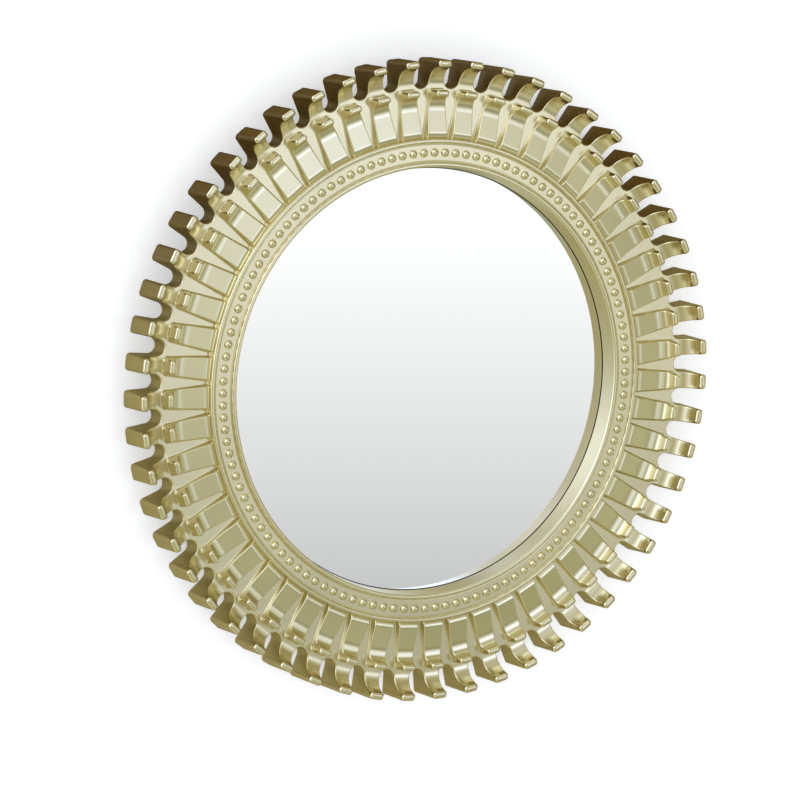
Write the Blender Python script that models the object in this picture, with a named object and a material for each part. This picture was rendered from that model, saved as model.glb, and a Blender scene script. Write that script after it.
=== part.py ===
"""Round wall mirror in a moulded frame: two tiers of curled fingers round a beaded ring.

Three pieces: the moulded frame, the mirror glass behind its lip, and the back panel that holds
the glass in and hangs on a screw. Metres, +Z up. The glass faces -Y and the back panel's rear
face lies on the wall, in the plane Y = 0. The origin is the centre of that face.

Two words are used throughout. "radius" is the distance from the mirror's axis, and "front" is
the distance in front of the wall, which is -Y.
"""

import math

import bmesh
import bpy
from mathutils import Matrix, Vector

# Running gap left between neighbouring pieces
FIT_GAP = 0.0003

# Mirror glass
SIGHT_RADIUS = 0.0825
GLASS_OVERLAP = 0.003
GLASS_THICKNESS = 0.002
GLASS_SIDES = 60

# Back panel
PANEL_FLANGE = 0.0038
PANEL_SPIGOT = 0.002
PANEL_OVERLAP = 0.0125
PANEL_CHAMFER = 0.0008
PANEL_SIDES = 48

# Keyhole in the back panel: the screw's head goes in at the hole and rises up the slot
HEAD_HOLE_RADIUS = 0.0045
SHANK_SLOT_WIDTH = 0.005
SLOT_RISE = 0.0095
KEYHOLE_PLATE = 0.0015
KEYHOLE_EDGE = 0.008
POCKET_MARGIN = 0.003
HOLE_SIDES = 16

# Frame, in the order met going outwards from the glass
SIGHT_WALL = 0.0068
SIGHT_DRAFT = 0.0007
FILLET_WIDTH = 0.0022
FILLET_RISE = 0.0008
BAND_WIDTH = 0.0068
WEB_DROP = 0.0026

# Beads along the middle of the band
BEAD_COUNT = 120
BEAD_TURN = math.radians(1.7)
BEAD_RADIUS = 0.00165
BEAD_SINK = 0.0001
BEAD_SIDES = 5
BEAD_RINGS = 4

# Fingers, the inner tier, which stand on the web. Heights are above the web
TOOTH_COUNT = 55
TOOTH_TURN = math.radians(2.8)
FINGER_LENGTH = 0.0186
FINGER_END_RAMP = 0.0014
FINGER_END_RISE = 0.0012
FINGER_SHOULDER = 0.0027
FINGER_DIP = 0.0014
FINGER_DIP_FROM_TIP = 0.0058
FINGER_TIP = 0.0062
FINGER_TIP_THICKNESS = 0.0025
FINGER_GAP = 0.0015
FINGER_TAPER = 0.066
FINGER_DRAFT = 0.16
FINGER_ROOT = 0.0008
FINGER_RISE_STEPS = 3

# Teeth, the outer tier, cut free by a round-ended notch on each side
TOOTH_LEDGE = 0.0003
TOOTH_LENGTH = 0.0115
TOOTH_FOOT = 0.0014
TOOTH_TIP = 0.0074
TOOTH_TIP_THICKNESS = 0.003
TOOTH_WIDTH = 0.0067
TOOTH_TAPER = 0.03
TOOTH_DRAFT = 0.03
TOOTH_WALL_DRAFT = 0.0002
TIP_CHAMFER = 0.0007
TOOTH_RISE_STEPS = 4
NOTCH_ARC_STEPS = 5

# Depths worked out from the sizes above, all measured in front of the wall
RIM_BACK = PANEL_FLANGE + FIT_GAP
PANEL_FRONT = PANEL_FLANGE + PANEL_SPIGOT
GLASS_BACK = PANEL_FRONT + FIT_GAP
GLASS_FRONT = GLASS_BACK + GLASS_THICKNESS
REBATE_FRONT = GLASS_FRONT + FIT_GAP
BAND_FRONT = REBATE_FRONT + SIGHT_WALL
WEB_FRONT = BAND_FRONT - WEB_DROP
TOOTH_FRONT = WEB_FRONT + TOOTH_TIP

# Radii worked out from the sizes above
GLASS_RADIUS = SIGHT_RADIUS + GLASS_OVERLAP
REBATE_RADIUS = GLASS_RADIUS + FIT_GAP
LIP_RADIUS = SIGHT_RADIUS + SIGHT_DRAFT
BAND_INNER = LIP_RADIUS + FILLET_WIDTH
BEAD_RING = BAND_INNER + BAND_WIDTH / 2
BAND_OUTER = BAND_INNER + BAND_WIDTH
WEB_INNER = BAND_OUTER + FILLET_WIDTH
FINGER_OUTER = WEB_INNER + FINGER_LENGTH
NOTCH_ROOT = FINGER_OUTER + TOOTH_LEDGE
TOOTH_OUTER = NOTCH_ROOT + TOOTH_LENGTH
OUTER_RADIUS = TOOTH_OUTER + TOOTH_WALL_DRAFT

# Half a tooth's pitch as a slope: times a radius it gives half the pitch there
HALF_PITCH = math.tan(math.pi / TOOTH_COUNT)

# Cutters and helpers run this far past what they cut
OVERCUT = 0.002


def placed(radius, across, front, angle):
    """A point given round the axis: angle from +X towards +Z, across at right angles to the radius."""
    outwards = Vector((math.cos(angle), 0, math.sin(angle)))
    sideways = Vector((-math.sin(angle), 0, math.cos(angle)))
    return outwards * radius + sideways * across + Vector((0, -front, 0))


def material(name, colour, roughness, metallic):
    made = bpy.data.materials.new(name)
    made.use_nodes = True
    shader = made.node_tree.nodes["Principled BSDF"]
    shader.inputs["Base Color"].default_value = (*colour, 1)
    shader.inputs["Roughness"].default_value = roughness
    shader.inputs["Metallic"].default_value = metallic
    made.diffuse_color = (*colour, 1)
    return made


def object_from(mesh_builder, name, finish=None):
    """Links a bmesh as a named object. With no finish it is a helper, which the render leaves out."""
    bmesh.ops.recalc_face_normals(mesh_builder, faces=mesh_builder.faces)
    mesh = bpy.data.meshes.new(name)
    mesh_builder.to_mesh(mesh)
    mesh_builder.free()
    made = bpy.data.objects.new(name, mesh)
    bpy.context.scene.collection.objects.link(made)
    if finish:
        mesh.materials.append(finish)
    else:
        made.hide_render = True
        made.display_type = "WIRE"
    return made


def boolean(target, tool, operation):
    step = target.modifiers.new(tool.name, "BOOLEAN")
    step.operation = operation
    step.solver = "EXACT"
    step.object = tool


def turned(outline, steps, start=0.0, ring=True):
    """An outline of (radius, front) points spun round the axis: closed as a ring, or capped flat."""
    shape = bmesh.new()
    points = [shape.verts.new(placed(radius, 0, front, start)) for radius, front in outline]
    edges = [shape.edges.new(pair) for pair in zip(points, points[1:])]
    if ring:
        edges.append(shape.edges.new((points[-1], points[0])))
    bmesh.ops.spin(
        shape,
        geom=points + edges,
        cent=(0, 0, 0),
        axis=(0, 1, 0),
        angle=math.tau,
        steps=steps,
        use_merge=True,
    )
    if not ring:
        bmesh.ops.holes_fill(shape, edges=shape.edges, sides=steps)
    return shape


def lofted(shape, first, second):
    """A closed solid between two outlines of the same number of points."""
    near = [shape.verts.new(point) for point in first]
    far = [shape.verts.new(point) for point in second]
    shape.faces.new(near)
    shape.faces.new(far[::-1])
    for i in range(len(near)):
        shape.faces.new((near[i - 1], near[i], far[i], far[i - 1]))


def curl(foot_radius, foot_front, top_radius, top_front, steps):
    """A hollow arc that leaves the foot level and curls forwards to the top."""
    run = top_radius - foot_radius
    rise = top_front - foot_front
    bend = (run**2 + rise**2) / (2 * rise)
    turn = math.atan2(run, bend - rise)
    angles = [turn * step / steps for step in range(steps + 1)]
    return [
        (foot_radius + bend * math.sin(angle), foot_front + bend * (1 - math.cos(angle)))
        for angle in angles
    ]


def blunt_tip(inner_radius, outer_radius, front):
    """The flat end of a finger or tooth, with its two edges taken off."""
    return [
        (inner_radius, front - TIP_CHAMFER),
        (inner_radius + TIP_CHAMFER, front),
        (outer_radius - TIP_CHAMFER, front),
        (outer_radius, front - TIP_CHAMFER),
    ]


def fillet_crown(inner_radius):
    """The small half-round moulding on each side of the bead band, as its two crown points."""
    crown = BAND_FRONT + FILLET_RISE
    return [(inner_radius + FILLET_WIDTH * share, crown) for share in (0.3, 0.7)]


def frame_outline():
    """The frame's section through a tooth, from the foot of the sight wall outwards and back."""
    foot = NOTCH_ROOT + TOOTH_FOOT
    tip_inner = TOOTH_OUTER - TOOTH_TIP_THICKNESS
    rise = curl(foot, WEB_FRONT, tip_inner, TOOTH_FRONT - TIP_CHAMFER, TOOTH_RISE_STEPS)
    return [
        (SIGHT_RADIUS, REBATE_FRONT),
        (LIP_RADIUS, BAND_FRONT),
        *fillet_crown(LIP_RADIUS),
        (BAND_INNER, BAND_FRONT),
        (BAND_OUTER, BAND_FRONT),
        *fillet_crown(BAND_OUTER),
        (WEB_INNER, BAND_FRONT),
        (WEB_INNER, WEB_FRONT),
        *rise[:-1],
        *blunt_tip(tip_inner, TOOTH_OUTER, TOOTH_FRONT),
        (OUTER_RADIUS, RIM_BACK),
        (REBATE_RADIUS, RIM_BACK),
        (REBATE_RADIUS, REBATE_FRONT),
    ]


def notch_outline(front, angle):
    """The round-ended notch between two teeth, at one depth. It widens forwards, as moulds do."""
    half_tooth = TOOTH_WIDTH / 2 + TOOTH_DRAFT * (WEB_FRONT - front)
    centre = (NOTCH_ROOT - TOOTH_WIDTH / 2) / (1 - HALF_PITCH)
    end_radius = centre * HALF_PITCH - half_tooth
    mouth = OUTER_RADIUS + OVERCUT
    mouth_half = end_radius + (mouth - centre) * (HALF_PITCH + TOOTH_TAPER)
    outline = [placed(mouth, -mouth_half, front, angle)]
    for step in range(NOTCH_ARC_STEPS + 1):
        turn = math.pi * step / NOTCH_ARC_STEPS
        radius = centre - end_radius * math.sin(turn)
        outline.append(placed(radius, -end_radius * math.cos(turn), front, angle))
    outline.append(placed(mouth, mouth_half, front, angle))
    return outline


def notches():
    """Every notch as one helper, halfway between the teeth."""
    shape = bmesh.new()
    for tooth in range(TOOTH_COUNT):
        angle = TOOTH_TURN + math.tau * (tooth + 0.5) / TOOTH_COUNT
        back = notch_outline(RIM_BACK - OVERCUT, angle)
        lofted(shape, back, notch_outline(TOOTH_FRONT + OVERCUT, angle))
    return object_from(shape, "notch_cutters")


def finger_outline():
    """A finger's section: a ramp at its inner end, a dip, then a curl up to the blunt tip."""
    tip_front = WEB_FRONT + FINGER_TIP
    tip_inner = FINGER_OUTER - FINGER_TIP_THICKNESS
    shoulder = WEB_FRONT + FINGER_SHOULDER
    dip = (FINGER_OUTER - FINGER_DIP_FROM_TIP, WEB_FRONT + FINGER_DIP)
    root = WEB_FRONT - FINGER_ROOT
    rise = curl(*dip, tip_inner, tip_front - TIP_CHAMFER, FINGER_RISE_STEPS)
    return [
        (WEB_INNER - FIT_GAP, root),
        (WEB_INNER - FIT_GAP, shoulder - FINGER_END_RISE),
        (WEB_INNER - FIT_GAP + FINGER_END_RAMP, shoulder),
        *rise[:-1],
        *blunt_tip(tip_inner, FINGER_OUTER, tip_front),
        (FINGER_OUTER, root),
    ]


def finger_half_width(radius, front):
    """Half the finger's width. It narrows outwards, and forwards for draft."""
    at_inner_end = WEB_INNER * HALF_PITCH - FINGER_GAP / 2
    outwards = FINGER_TAPER * (radius - WEB_INNER)
    return at_inner_end - outwards - FINGER_DRAFT * (front - WEB_FRONT)


def fingers():
    """The inner tier as one helper: a finger in line with each tooth, rooted in the web."""
    shape = bmesh.new()
    outline = finger_outline()
    for tooth in range(TOOTH_COUNT):
        angle = TOOTH_TURN + math.tau * tooth / TOOTH_COUNT
        sides = [
            [placed(r, side * finger_half_width(r, front), front, angle) for r, front in outline]
            for side in (-1, 1)
        ]
        lofted(shape, *sides)
    return object_from(shape, "finger_blanks")


def beads():
    """The beads as one helper: balls sunk a little past half into the band."""
    shape = bmesh.new()
    lying = Matrix.Rotation(math.pi / 2, 4, "X")
    for bead in range(BEAD_COUNT):
        angle = BEAD_TURN + math.tau * bead / BEAD_COUNT
        centre = placed(BEAD_RING, 0, BAND_FRONT - BEAD_SINK, angle)
        turn = Matrix.Rotation(-angle, 4, "Y")
        bmesh.ops.create_uvsphere(
            shape,
            u_segments=BEAD_SIDES,
            v_segments=BEAD_RINGS,
            radius=BEAD_RADIUS,
            matrix=Matrix.Translation(centre) @ turn @ lying,
        )
    return object_from(shape, "bead_blanks")


def frame(finish):
    """The moulded frame. It is spun with its flats on the teeth, so their faces stay whole."""
    start = TOOTH_TURN + math.pi / TOOTH_COUNT
    made = object_from(turned(frame_outline(), TOOTH_COUNT, start), "frame", finish)
    boolean(made, notches(), "DIFFERENCE")
    boolean(made, fingers(), "UNION")
    boolean(made, beads(), "UNION")
    return made


def mirror_glass(finish):
    edge = [(GLASS_RADIUS, GLASS_BACK), (GLASS_RADIUS, GLASS_FRONT)]
    return object_from(turned(edge, GLASS_SIDES, ring=False), "mirror_glass", finish)


def panel_outline():
    """The edge of the back panel's section: a spigot behind the glass and a flange behind the frame."""
    flange_radius = REBATE_RADIUS + PANEL_OVERLAP
    spigot_radius = REBATE_RADIUS - FIT_GAP
    return [
        (flange_radius - PANEL_CHAMFER, 0),
        (flange_radius, PANEL_CHAMFER),
        (flange_radius, PANEL_FLANGE),
        (spigot_radius, PANEL_FLANGE),
        (spigot_radius, PANEL_FRONT),
    ]


def slot_outline(half_width, low, high, front):
    """An upright slot with round ends, its two end centres at the heights low and high."""
    outline = []
    for centre, start in ((high, 0.0), (low, math.pi)):
        for step in range(HOLE_SIDES // 2 + 1):
            turn = start + math.tau * step / HOLE_SIDES
            side = half_width * math.cos(turn)
            outline.append(Vector((side, -front, centre + half_width * math.sin(turn))))
    return outline


def keyhole_cutters():
    """The head hole, the shank slot, and the pocket in front of them that the screw's head slides in."""
    pocket_half = HEAD_HOLE_RADIUS + POCKET_MARGIN
    top = REBATE_RADIUS - FIT_GAP - KEYHOLE_EDGE - pocket_half
    hole = top - SLOT_RISE
    past_front = PANEL_FRONT + OVERCUT
    cuts = {
        "head_hole": (HEAD_HOLE_RADIUS, hole, hole, -OVERCUT, past_front),
        "shank_slot": (SHANK_SLOT_WIDTH / 2, hole, top, -OVERCUT, past_front),
        "head_pocket": (pocket_half, hole, top, KEYHOLE_PLATE, past_front),
    }
    made = []
    for name, (half_width, low, high, back, front) in cuts.items():
        shape = bmesh.new()
        near = slot_outline(half_width, low, high, back)
        lofted(shape, near, slot_outline(half_width, low, high, front))
        bmesh.ops.remove_doubles(shape, verts=shape.verts, dist=FIT_GAP / 10)
        made.append(object_from(shape, name))
    return made


def back_panel(finish):
    blank = turned(panel_outline(), PANEL_SIDES, ring=False)
    made = object_from(blank, "back_panel", finish)
    for cutter in keyhole_cutters():
        boolean(made, cutter, "DIFFERENCE")
    return made


def build():
    for old in list(bpy.data.objects):
        bpy.data.objects.remove(old)
    gold = material("champagne_gold", (0.76, 0.70, 0.48), 0.3, 1.0)
    silvered = material("silvered_glass", (0.93, 0.94, 0.94), 0.02, 1.0)
    black = material("black_plastic", (0.03, 0.03, 0.032), 0.55, 0.0)
    whole = bpy.data.objects.new("wall_mirror", None)
    bpy.context.scene.collection.objects.link(whole)
    for piece in (frame(gold), mirror_glass(silvered), back_panel(black)):
        piece.parent = whole


build()
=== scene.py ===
"""Round wall mirror in a moulded sunburst frame, dressed over its solid model.

The frame's moulding is drawn again as fine surfaces with rolled edges, in satin champagne-gold
The glass gets its silvering and a dark edge line of painted shade, and the back panel its grained plastic.

Sizes are in metres. "radius" is the distance from the mirror's axis, "across" is the distance
sideways from the middle of a finger or tooth, and "front" is the distance in front of the wall.
"""

import math

import bpy
import numpy as np
from bpy.props import FloatProperty, FloatVectorProperty, IntProperty, PointerProperty
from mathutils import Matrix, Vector


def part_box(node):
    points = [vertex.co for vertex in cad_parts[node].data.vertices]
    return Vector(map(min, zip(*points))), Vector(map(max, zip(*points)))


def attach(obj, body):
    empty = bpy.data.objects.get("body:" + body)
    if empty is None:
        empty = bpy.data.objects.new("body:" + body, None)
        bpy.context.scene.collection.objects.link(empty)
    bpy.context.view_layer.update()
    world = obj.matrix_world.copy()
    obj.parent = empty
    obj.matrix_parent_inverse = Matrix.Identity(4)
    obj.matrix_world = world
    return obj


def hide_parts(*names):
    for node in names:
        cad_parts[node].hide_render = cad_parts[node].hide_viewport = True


bl_info = {
    "name": "Sunburst wall mirror",
    "version": (1, 0, 0),
    "blender": (4, 5, 0),
    "location": "View3D > Sidebar > Wall Mirror",
    "description": "Builds the moulded gold frame, the mirror glass and the back panel",
    "category": "Object",
}

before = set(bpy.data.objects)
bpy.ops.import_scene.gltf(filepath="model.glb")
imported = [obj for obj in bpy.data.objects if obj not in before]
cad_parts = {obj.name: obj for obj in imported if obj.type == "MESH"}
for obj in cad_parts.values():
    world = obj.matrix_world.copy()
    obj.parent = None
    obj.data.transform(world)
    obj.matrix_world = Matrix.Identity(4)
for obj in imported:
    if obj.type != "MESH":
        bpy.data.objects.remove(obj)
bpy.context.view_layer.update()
glass_low, glass_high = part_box("mirror_glass")
panel_low, panel_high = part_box("back_panel")
frame_low, frame_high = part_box("frame")


# Sizes and colours

def length(name, description, default):
    """A size in metres that a user may change."""
    return FloatProperty(
        name=name, description=description, default=default, min=0.0, precision=5,
        subtype="DISTANCE", unit="LENGTH",
    )


def colour(name, description, default):
    return FloatVectorProperty(
        name=name, description=description, default=default, size=3, min=0.0, max=1.0,
        subtype="COLOR",
    )


def share(name, description, default):
    return FloatProperty(
        name=name, description=description, default=default, min=0.0, max=1.0, subtype="FACTOR",
    )


class MirrorRingSizes(bpy.types.PropertyGroup):
    """The plain rings round the glass."""

    sight_radius: length("Sight radius", "Radius of the glass that shows", 0.0825)
    sight_front: length("Sight edge", "Front of the rebate that the glass lies in", 0.0084)
    band_front: length("Band", "Front of the flat band under the beads", 0.0152)
    ridge_rise: length("Ridge rise", "Height of the half-round ridges over the band", 0.0009)
    inner_ridge_radius: length("Inner ridge", "Middle of the ridge beside the glass", 0.0843)
    outer_ridge_radius: length("Outer ridge", "Middle of the ridge beside the fingers", 0.0933)
    ridge_width: length("Ridge width", "Width of each ridge", 0.0019)
    web_front: length("Web", "Front of the flat web between the fingers", 0.0126)
    rebate_radius: length("Rebate radius", "Radius of the rebate for the glass", 0.0858)
    back: length("Back", "Back of the moulding, in front of the wall", -frame_high.y)


class MirrorBeadSizes(bpy.types.PropertyGroup):
    """The row of beads."""

    count: IntProperty(name="Beads", description="Number of beads", default=120, min=3)
    turn: FloatProperty(
        name="Turn", description="Angle of the first bead from the right", subtype="ANGLE",
        default=math.radians(1.7),
    )
    ring_radius: length("Ring radius", "Radius of the row of beads", 0.0888)
    radius: length("Bead radius", "Radius of one bead", 0.00168)
    sink: length("Sink", "How far a bead's centre lies under the band", 0.0001)


class MirrorFingerSizes(bpy.types.PropertyGroup):
    """The inner tier of fingers, each lying on the web. Heights are above the web."""

    count: IntProperty(name="Fingers", description="Number of fingers and teeth", default=55, min=3)
    turn: FloatProperty(
        name="Turn", description="Angle of the first finger from the right", subtype="ANGLE",
        default=math.radians(2.8),
    )
    inner: length("Inner end", "Radius where a finger comes out of the ridge", 0.0943)
    outer: length("Outer end", "Radius of a finger's outer end at its foot", 0.1131)
    inner_width: length("Inner width", "Width of the foot at the inner end", 0.0093)
    outer_width: length("Outer width", "Width of the foot at the outer end", 0.0069)
    shoulder: length("Shoulder", "Height of the top at the inner end", 0.0029)
    dip: length("Dip", "Height of the corner the sweep rounds off", 0.0011)
    dip_radius: length("Dip radius", "Radius of the corner the sweep rounds off", 0.1062)
    sweep: length("Sweep", "Radius of the gentle start of the curl", 0.009)
    curl_radius: length("Curl place", "Radius of the corner the curl rounds off", 0.1094)
    curl_height: length("Curl height", "Height of the corner the curl rounds off", 0.0018)
    curl: length("Curl", "Radius of the curl up to the tip", 0.0024)
    tip: length("Tip", "Height of the tip", 0.0062)
    tip_thickness: length("Tip thickness", "Thickness of the tip along the finger", 0.0025)
    draft: share("Draft", "Lean of the side walls", 0.16)
    end_draft: share("End draft", "Lean of the outer end wall", 0.03)
    edge: length("Edge", "Rounding of the long edges", 0.00045)
    end_roll: length("End roll", "Radius of the roll down to the ridge at the inner end", 0.0036)
    tip_edge: length("Tip edge", "Rounding of the tip's edges", 0.00105)
    tip_roll: length("Tip roll", "Rounding from the curl on to the tip", 0.0011)
    foot_fillet: length("Foot fillet", "Hollow fillet round the foot", 0.0005)


class MirrorToothSizes(bpy.types.PropertyGroup):
    """The outer tier of teeth and the notches between them. Heights are above the web."""

    notch_root: length("Notch root", "Radius of the bottom of a notch", 0.1133)
    width: length("Width", "Width of a tooth where its notches start", 0.0067)
    taper: share("Taper", "How much each side closes in on the way out", 0.03)
    foot: length("Foot", "Radius where a tooth starts to curl up", 0.1147)
    outer: length("Outer end", "Radius of a tooth's outer end, level with the web", 0.1246)
    tip: length("Tip", "Height of the tip", 0.0074)
    tip_thickness: length("Tip thickness", "Thickness of the tip along the tooth", 0.003)
    draft: share("Draft", "Lean of the side walls", 0.03)
    end_draft: share("End draft", "Lean of the outer end wall", 0.015)
    edge: length("Edge", "Rounding of the edges", 0.0005)
    tip_edge: length("Tip edge", "Rounding of the tip's edges", 0.0012)
    web_join: length("Web join", "Radius where the plain web ends and the teeth begin", 0.1115)


class MirrorPanelSizes(bpy.types.PropertyGroup):
    """The back panel and its keyhole."""

    flange_radius: length("Flange radius", "Outer radius of the panel", panel_high.x)
    flange: length("Flange", "Thickness of the flange", 0.0038)
    spigot_radius: length("Spigot radius", "Radius of the step behind the glass", 0.0855)
    spigot_front: length("Spigot", "Front of the step behind the glass", -panel_low.y)
    edge: length("Edge", "Rounding of the panel's edge", 0.0008)
    hole_radius: length("Head hole", "Radius of the hole for the screw's head", 0.0045)
    slot_half: length("Slot", "Half the width of the slot for the screw's shank", 0.0025)
    slot_rise: length("Slot rise", "How far the slot rises over the hole", 0.0095)
    hole_height: length("Hole height", "Height of the hole above the middle", 0.0605)
    plate: length("Plate", "Thickness of the plate round the keyhole", 0.0015)
    pocket_half: length("Pocket", "Half the width of the pocket behind the keyhole", 0.0075)


class MirrorFinish(bpy.types.PropertyGroup):
    """Colours and finishes."""

    gold: colour("Gold", "Champagne-gold lacquer", (0.80, 0.73, 0.49))
    flake: colour("Flake", "Bright flake in the lacquer", (0.95, 0.88, 0.62))
    roughness: share("Roughness", "Roughness of the lacquer", 0.2)
    silver: colour("Silvering", "Tint of the mirror", (0.93, 0.94, 0.945))
    panel: colour("Panel", "Plastic of the back panel", (0.022, 0.022, 0.024))


SETTINGS = {
    "mirror_ring": MirrorRingSizes,
    "mirror_beads": MirrorBeadSizes,
    "mirror_fingers": MirrorFingerSizes,
    "mirror_teeth": MirrorToothSizes,
    "mirror_panel": MirrorPanelSizes,
    "mirror_finish": MirrorFinish,
}


# Surfaces

def unit(vectors):
    """Each vector divided by its own length."""
    return vectors / np.linalg.norm(vectors, axis=-1, keepdims=True)


def eased(values, start, end):
    """Rises smoothly from 0 at start to 1 at end: t squared times (3 - 2 t)."""
    t = np.clip((values - start) / (end - start), 0.0, 1.0)
    return t * t * (3.0 - 2.0 * t)


def rounded_line(corners, radii, steps):
    """A line of straight runs whose inner corners are rounded, with its left-hand normals.

    The arc at a corner starts one tangent length before it, radius times the tangent of half
    the turn, and swings the run's normal through the turn: point = centre - side * radius *
    normal, where side is the sign of the turn.
    """
    corners = np.asarray(corners, float)
    radii = np.asarray(radii, float)[:, None, None]
    run = unit(np.diff(corners, axis=0))
    normal = np.stack([-run[:, 1], run[:, 0]], axis=1)
    before, after = run[:-1], run[1:]
    turn = np.arctan2(
        before[:, 0] * after[:, 1] - before[:, 1] * after[:, 0],
        (before * after).sum(axis=1),
    )[:, None]
    side = np.sign(turn)[:, :, None]
    start = corners[1:-1, None] - before[:, None] * radii * np.tan(np.abs(turn) / 2)[:, :, None]
    swing = turn * np.linspace(0.0, 1.0, steps + 1)
    first = normal[:-1, None]
    turned = np.stack([
        first[..., 0] * np.cos(swing) - first[..., 1] * np.sin(swing),
        first[..., 0] * np.sin(swing) + first[..., 1] * np.cos(swing),
    ], axis=-1)
    arcs = start + side * radii * (first - turned)
    points = np.concatenate([corners[:1], arcs.reshape(-1, 2), corners[-1:]])
    normals = np.concatenate([normal[:1], turned.reshape(-1, 2), normal[-1:]])
    return points, normals


def filled_in(points, normals, spacing):
    """The same line with its long runs cut into equal lengths no longer than the spacing."""
    run = np.linalg.norm(np.diff(points, axis=0), axis=1)
    cuts = np.maximum(np.ceil(run / spacing).astype(int), 1)
    along = np.concatenate([
        index + np.arange(count) / count for index, count in enumerate(cuts)
    ] + [[len(run)]])
    knots = np.arange(len(points))
    filled = [np.interp(along, knots, values) for values in (*points.T, *normals.T)]
    return np.stack(filled[:2], axis=1), unit(np.stack(filled[2:], axis=1))


def about_axis(places, angles):
    """Places given as (radius, across, front) turned to each angle from +X towards +Z.

    x = radius cos - across sin, y = -front, z = radius sin + across cos.
    """
    radius, across, front = np.moveaxis(places, -1, 0)
    shape = (-1,) + (1,) * radius.ndim
    cosine = np.cos(angles).reshape(shape)
    sine = np.sin(angles).reshape(shape)
    x = radius * cosine - across * sine
    z = radius * sine + across * cosine
    return np.stack([x, np.broadcast_to(-front, x.shape), z], axis=-1)


def grid_triangles(rows, columns, round_rows=False, round_columns=False):
    """Two triangles for each cell of a grid of numbered points."""
    row = np.arange(rows if round_rows else rows - 1)[:, None]
    column = np.arange(columns if round_columns else columns - 1)[None, :]
    next_row = (row + 1) % rows
    next_column = (column + 1) % columns
    a = row * columns + column
    b = row * columns + next_column
    c = next_row * columns + next_column
    d = next_row * columns + column
    return np.concatenate([
        np.stack([a, b, c], axis=-1).reshape(-1, 3),
        np.stack([a, c, d], axis=-1).reshape(-1, 3),
    ])


def repeated(triangles, points_each, copies):
    """The same triangles for each copy of a block of points."""
    step = np.arange(copies)[:, None, None] * points_each
    return (triangles[None] + step).reshape(-1, 3)


def surface_object(name, points, normals, triangles, finish):
    """A mesh object from points, their normals and triangles.

    Points that share a place, to a tenth of a micrometre, become one, with their normals
    averaged. Triangles that close up are dropped, and each is wound to face its normals.
    """
    points = points.reshape(-1, 3)
    normals = normals.reshape(-1, 3)
    _, first, label = np.unique(
        np.round(points, 7) + 0.0, axis=0, return_index=True, return_inverse=True,
    )
    label = label.ravel()
    places = points[first]
    sums = [np.bincount(label, normals[:, axis], len(first)) for axis in range(3)]
    facing = unit(np.stack(sums, axis=1) + 1e-12)
    faces = label[triangles]
    whole = (faces[:, 0] != faces[:, 1]) & (faces[:, 1] != faces[:, 2]) & (faces[:, 0] != faces[:, 2])
    faces = faces[whole]
    corners = places[faces]
    true_normal = np.cross(corners[:, 1] - corners[:, 0], corners[:, 2] - corners[:, 0])
    inward = (true_normal * facing[faces].sum(axis=1)).sum(axis=1) < 0
    faces[inward] = faces[inward][:, ::-1]
    mesh = bpy.data.meshes.new(name)
    mesh.vertices.add(len(places))
    mesh.vertices.foreach_set("co", places.ravel())
    mesh.loops.add(faces.size)
    mesh.loops.foreach_set("vertex_index", faces.ravel())
    mesh.polygons.add(len(faces))
    mesh.polygons.foreach_set("loop_start", np.arange(0, faces.size, 3))
    mesh.update(calc_edges=True)
    mesh.shade_smooth()
    mesh.normals_split_custom_set_from_vertices(facing.tolist())
    mesh.materials.append(finish)
    made = bpy.data.objects.new(name, mesh)
    bpy.context.scene.collection.objects.link(made)
    return made


def revolved(name, line, line_normals, steps, finish, round_line=False):
    """A line of (radius, front) swept once round the axis."""
    angles = np.linspace(0.0, math.tau, steps, endpoint=False)
    flat = np.zeros(len(line))
    places = np.stack([line[:, 0], flat, line[:, 1]], axis=1)
    leans = np.stack([line_normals[:, 0], flat, line_normals[:, 1]], axis=1)
    triangles = grid_triangles(steps, len(line), round_rows=True, round_columns=round_line)
    return surface_object(
        name, about_axis(places, angles), about_axis(leans, angles), triangles, finish,
    )


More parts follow.
